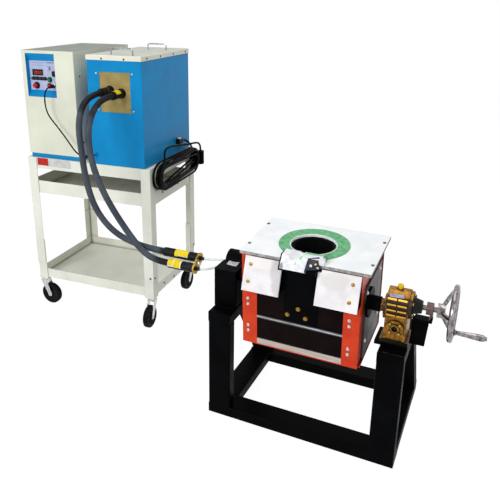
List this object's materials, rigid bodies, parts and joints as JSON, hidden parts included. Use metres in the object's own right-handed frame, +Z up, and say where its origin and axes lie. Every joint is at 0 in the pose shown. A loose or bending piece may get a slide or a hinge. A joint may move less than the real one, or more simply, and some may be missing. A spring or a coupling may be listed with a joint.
{
  "type": "tilting induction melting furnace",
  "caption": "Tilting induction furnace on a tube stand with a worm gearbox and hand wheel, fed by heavy cables from a power cabinet and transformer box on a castered cart.",
  "frame": {"origin": "on the floor, at the middle of the plan outline of everything but the cables", "axes": "+Z up, -Y the side the spout faces, +X from the cart towards the hand wheel"},
  "size_m": [1.9715, 0.9359, 1.206],
  "materials": {
    "stand_black": "satin black paint",
    "black_plastic": "moulded, matte",
    "gear_gold": "gold enamel",
    "plug_yellow": "gloss",
    "bare_steel": "turned steel",
    "chrome": "bright plating",
    "frame_red": "orange red paint",
    "board_brown": "dark pressed fibre cement board",
    "plate_grey": "grey paint",
    "strip_aluminium": "mill finish strip",
    "board_white": "white calcium silicate board",
    "ring_green": "dyed refractory cement",
    "crucible_dark": "fired graphite clay",
    "castable": "cast refractory",
    "guard_white": "white paint",
    "cart_cream": "cream powder coat",
    "zinc": "zinc plated",
    "tyre_black": "rubber tyre",
    "cabinet_cream": "cream powder coat",
    "box_blue": "blue powder coat",
    "panel_lilac": "printed overlay",
    "knob_red": "gloss",
    "button_green": "gloss",
    "button_red": "gloss",
    "panel_tan": "laminate board",
    "cable_grey": "rubber sheath",
    "hose_clear": "clear PVC hose",
    "cable_black": "PVC sheath",
    "boot_black": "heat-shrink sleeve"
  },
  "bodies": {
    "base": {"base_frames": "box_blue", "box_lid": "cabinet_cream", "box_shell": "box_blue", "cabinet_shell": "cabinet_cream", "cable_a": "cable_grey", "cable_b": "cable_grey", "cable_boots": "boot_black", "cable_coupler": "boot_black", "cart_deck": "cart_cream", "cart_legs_lower": "cart_cream", "cart_legs_upper": "cart_cream", "cart_shelf": "cart_cream", "cart_tray": "cart_cream", "control_panel": "panel_lilac", "control_recess": "box_blue", "feed_housing": "black_plastic", "feed_panel": "panel_tan", "gearbox_housing": "gear_gold", "gearbox_plug": "plug_yellow", "hose_a": "hose_clear", "hose_b": "hose_clear", "input_carrier": "stand_black", "lid_handles": "chrome", "mains_hank": "cable_black", "mains_lead": "cable_black", "mains_plug": "black_plastic", "mains_tail": "cable_black", "panel_cord": "cable_black", "panel_fittings": "black_plastic", "shaft_bracket": "stand_black", "stand_base": "stand_black", "stand_left": "stand_black", "stand_right": "stand_black"},
    "furnace": {"furnace_frame": "frame_red", "body_boards": "board_brown", "side_plates": "plate_grey", "front_strips": "strip_aluminium", "top_board": "board_white", "lining_ring": "ring_green", "crucible": "crucible_dark", "packing": "castable", "spout": "castable", "spout_bracket": "stand_black", "splash_guards": "guard_white", "trunnion_left": "stand_black", "trunnion_right": "stand_black"},
    "crank": {"input_shaft": "bare_steel", "hand_wheel": "chrome"},
    "grip": {"handle_grip": "chrome"},
    "dial": {"dial_knob": "knob_red"},
    "start_switch": {"start_button": "button_green"},
    "stop_switch": {"stop_button": "button_red"},
    "caster_front_left": {"caster_fork_front_left": "zinc"},
    "wheel_front_left": {"caster_wheel_front_left": "tyre_black"},
    "caster_front_right": {"caster_fork_front_right": "zinc"},
    "wheel_front_right": {"caster_wheel_front_right": "tyre_black"},
    "caster_rear_right": {"caster_fork_rear_right": "zinc"},
    "wheel_rear_right": {"caster_wheel_rear_right": "tyre_black"},
    "caster_rear_left": {"caster_fork_rear_left": "zinc"},
    "wheel_rear_left": {"caster_wheel_rear_left": "tyre_black"}
  },
  "joints": [
    {"name": "tilt", "type": "hinge", "parent": "base", "child": "furnace", "pos_m": [0.4574, -0.3278, 0.512], "axis": [1, 0, 0], "range_deg": [-13.4, 91.6]},
    {"name": "crank_turn", "type": "hinge", "parent": "base", "child": "crank", "pos_m": [0.8374, -0.3278, 0.53], "axis": [1, 0, 0], "range_deg": [-405, 2750]},
    {"name": "grip_spin", "type": "hinge", "parent": "crank", "child": "grip", "pos_m": [0.9374, -0.3028, 0.45717], "axis": [1, 0, 0], "continuous": true},
    {"name": "swivel_front_left", "type": "hinge", "parent": "base", "child": "caster_front_left", "pos_m": [-0.93341, -0.01619, 0.12], "axis": [0, 0, 1], "continuous": true},
    {"name": "roll_front_left", "type": "hinge", "parent": "caster_front_left", "child": "wheel_front_left", "pos_m": [-0.90344, -0.01505, 0.05], "axis": [-0.0382, 0.9993, 0], "continuous": true},
    {"name": "swivel_front_right", "type": "hinge", "parent": "base", "child": "caster_front_right", "pos_m": [-0.36494, 0.02545, 0.12], "axis": [0, 0, 1], "continuous": true},
    {"name": "roll_front_right", "type": "hinge", "parent": "caster_front_right", "child": "wheel_front_right", "pos_m": [-0.3617, -0.00437, 0.05], "axis": [0.9942, 0.1078, 0], "continuous": true},
    {"name": "swivel_rear_right", "type": "hinge", "parent": "base", "child": "caster_rear_right", "pos_m": [-0.39438, 0.42738, 0.12], "axis": [0, 0, 1], "continuous": true},
    {"name": "roll_rear_right", "type": "hinge", "parent": "caster_rear_right", "child": "wheel_rear_right", "pos_m": [-0.39428, 0.39738, 0.05], "axis": [1, 0.0033, 0], "continuous": true},
    {"name": "swivel_rear_left", "type": "hinge", "parent": "base", "child": "caster_rear_left", "pos_m": [-0.96286, 0.38573, 0.12], "axis": [0, 0, 1], "continuous": true},
    {"name": "roll_rear_left", "type": "hinge", "parent": "caster_rear_left", "child": "wheel_rear_left", "pos_m": [-0.93853, 0.36818, 0.05], "axis": [0.5851, 0.811, 0], "continuous": true},
    {"name": "dial_turn", "type": "hinge", "parent": "base", "child": "dial", "pos_m": [-0.88717, -0.01782, 1.037], "axis": [-0.0731, 0.9973, 0], "range_deg": [0, 270]},
    {"name": "start_press", "type": "slide", "parent": "base", "child": "start_switch", "axis": [-0.0731, 0.9973, 0], "range_m": [0, 0.0025], "stiffness_N_per_m": 400},
    {"name": "stop_press", "type": "slide", "parent": "base", "child": "stop_switch", "axis": [-0.0731, 0.9973, 0], "range_m": [0, 0.0025], "stiffness_N_per_m": 400}
  ],
  "couplings": [
    {"joint": "crank_turn", "follows": "tilt", "ratio": 30}
  ]
}
